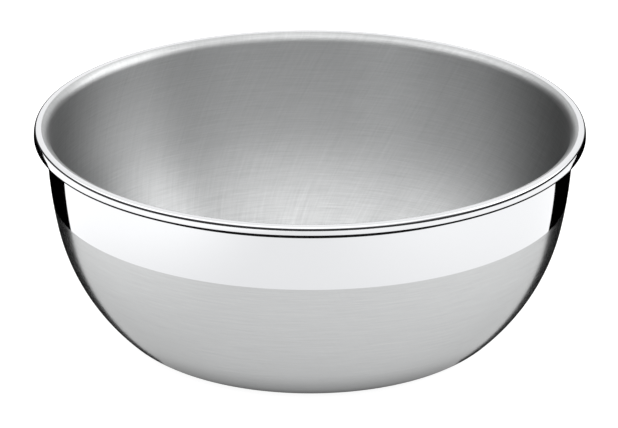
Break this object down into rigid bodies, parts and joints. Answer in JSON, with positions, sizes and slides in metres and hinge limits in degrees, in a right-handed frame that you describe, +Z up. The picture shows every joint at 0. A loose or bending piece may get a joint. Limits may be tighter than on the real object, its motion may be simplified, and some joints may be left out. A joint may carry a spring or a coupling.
{
  "type": "shaving bowl",
  "caption": "Round seamless steel bowl with a flat base, curved wall and outward-rolled rim, for working up shaving lather.",
  "frame": {"origin": "middle of the flat base's underside, on the bowl's axis, in the plane it stands on", "axes": "+Z up along the bowl's axis, out of its mouth; the bowl is round, so +X and +Y are any two level directions at right angles"},
  "size_m": [0.12, 0.12, 0.0483],
  "materials": {
    "stainless_steel": "fine satin brushed round the axis inside and on the lower outside, mirror polished on the rim and on the outside band below it"
  },
  "bodies": {
    "root": {"bowl": "stainless_steel"}
  },
  "joints": []
}
